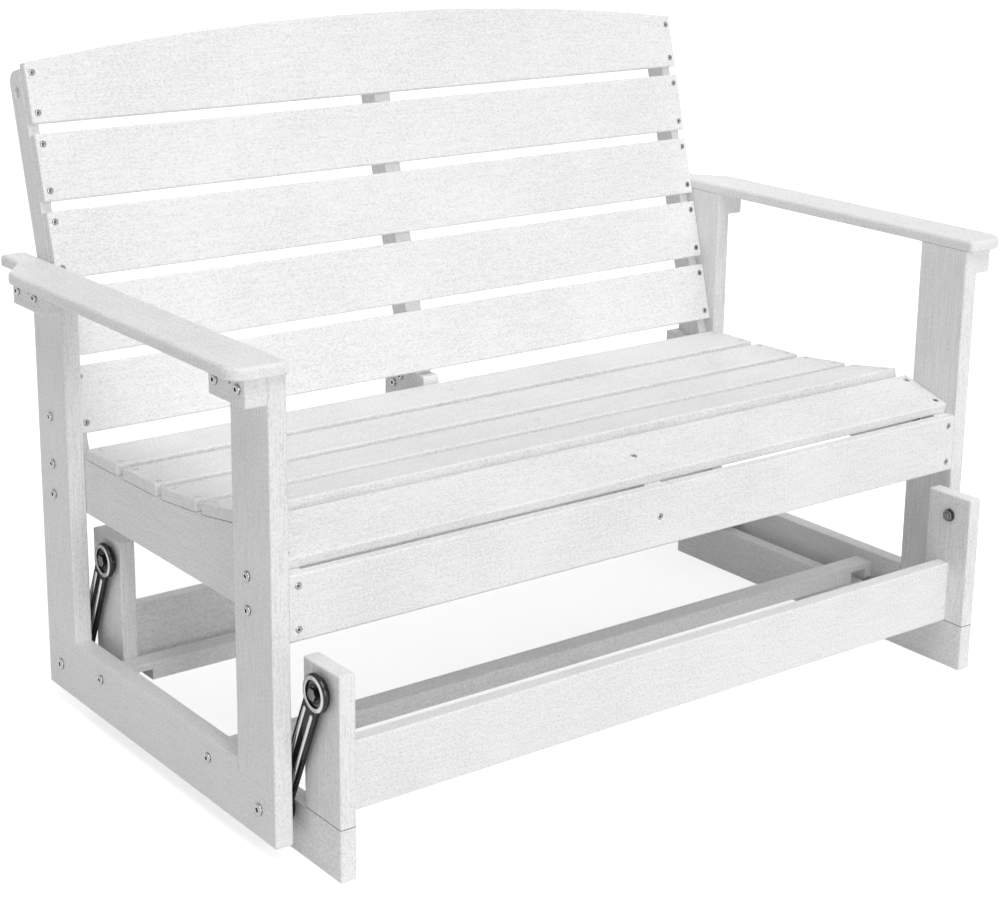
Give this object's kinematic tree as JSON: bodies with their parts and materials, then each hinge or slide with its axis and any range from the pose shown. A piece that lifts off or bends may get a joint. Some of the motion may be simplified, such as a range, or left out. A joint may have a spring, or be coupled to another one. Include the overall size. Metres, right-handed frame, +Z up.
{
  "type": "glider bench",
  "caption": "Slatted porch bench with a curved top rail and flat arms; its seat hangs on steel links and glides to and fro on a low base.",
  "frame": {"origin": "on the floor, under the middle of the bench's bounding box at rest, with the seat at the rear end of its glide", "axes": "+X along the bench, to the right as seen from the front; +Y towards the back; +Z up"},
  "size_m": [1.3, 0.79, 0.9327],
  "materials": {
    "boards": "white poly lumber with a fine brushed and mottled face",
    "fixings": "bright stainless steel",
    "links": "dark polished steel",
    "bearings": "steel",
    "dowels": "plain"
  },
  "bodies": {
    "base": {"base_dowels": "dowels", "base_rail_front": "boards", "base_rail_rear": "boards", "foot_left": "boards", "foot_right": "boards", "pivot_bolts_upper": "fixings", "upright_front_left": "boards", "upright_front_right": "boards", "upright_rear_left": "boards", "upright_rear_right": "boards"},
    "link_front_left": {"link_bearings_front_left": "bearings", "link_front_left": "links"},
    "link_front_right": {"link_bearings_front_right": "bearings", "link_front_right": "links"},
    "link_rear_left": {"link_bearings_rear_left": "bearings", "link_rear_left": "links"},
    "link_rear_right": {"link_bearings_rear_right": "bearings", "link_rear_right": "links"},
    "seat": {"arm_block_front_left": "boards", "arm_block_front_right": "boards", "arm_block_rear_left": "boards", "arm_block_rear_right": "boards", "arm_bolts": "fixings", "arm_left": "boards", "arm_right": "boards", "back_screws": "fixings", "back_slat_1": "boards", "back_slat_2": "boards", "back_slat_3": "boards", "back_slat_4": "boards", "back_slat_5": "boards", "back_stile_centre": "boards", "back_stile_left": "boards", "back_stile_right": "boards", "centre_bolts": "fixings", "centre_plate": "fixings", "frame_dowels": "dowels", "front_apron": "boards", "leg_bolts": "fixings", "leg_front_left": "boards", "leg_front_right": "boards", "leg_rear_left": "boards", "leg_rear_right": "boards", "pivot_bolts_lower": "fixings", "seat_rail_centre": "boards", "seat_rail_left": "boards", "seat_rail_rear": "boards", "seat_rail_right": "boards", "seat_screws": "fixings", "seat_slat_1": "boards", "seat_slat_2": "boards", "seat_slat_3": "boards", "seat_slat_4": "boards", "seat_slat_5": "boards", "sill_left": "boards", "sill_right": "boards", "stretcher_bolts": "fixings", "stretcher_front": "boards", "stretcher_rear": "boards"}
  },
  "joints": [
    {"name": "glide", "type": "hinge", "parent": "base", "child": "link_front_left", "pos_m": [-0.5655, -0.35694, 0.23523], "axis": [-1, 0, 0], "range_deg": [0, 44.1]},
    {"name": "seat_level", "type": "hinge", "parent": "link_front_left", "child": "seat", "pos_m": [-0.5655, -0.28049, 0.06443], "axis": [-1, 0, 0], "range_deg": [-44.1, 0]},
    {"name": "link_front_right_swing", "type": "hinge", "parent": "base", "child": "link_front_right", "pos_m": [0.5655, -0.35694, 0.23523], "axis": [-1, 0, 0], "range_deg": [0, 44.1]},
    {"name": "link_rear_left_swing", "type": "hinge", "parent": "base", "child": "link_rear_left", "pos_m": [-0.5655, 0.18401, 0.23523], "axis": [-1, 0, 0], "range_deg": [0, 44.1]},
    {"name": "link_rear_right_swing", "type": "hinge", "parent": "base", "child": "link_rear_right", "pos_m": [0.5655, 0.18401, 0.23523], "axis": [-1, 0, 0], "range_deg": [0, 44.1]}
  ],
  "couplings": [
    {"joint": "seat_level", "follows": "glide", "ratio": -1},
    {"joint": "link_front_right_swing", "follows": "glide", "ratio": 1},
    {"joint": "link_rear_left_swing", "follows": "glide", "ratio": 1},
    {"joint": "link_rear_right_swing", "follows": "glide", "ratio": 1}
  ]
}
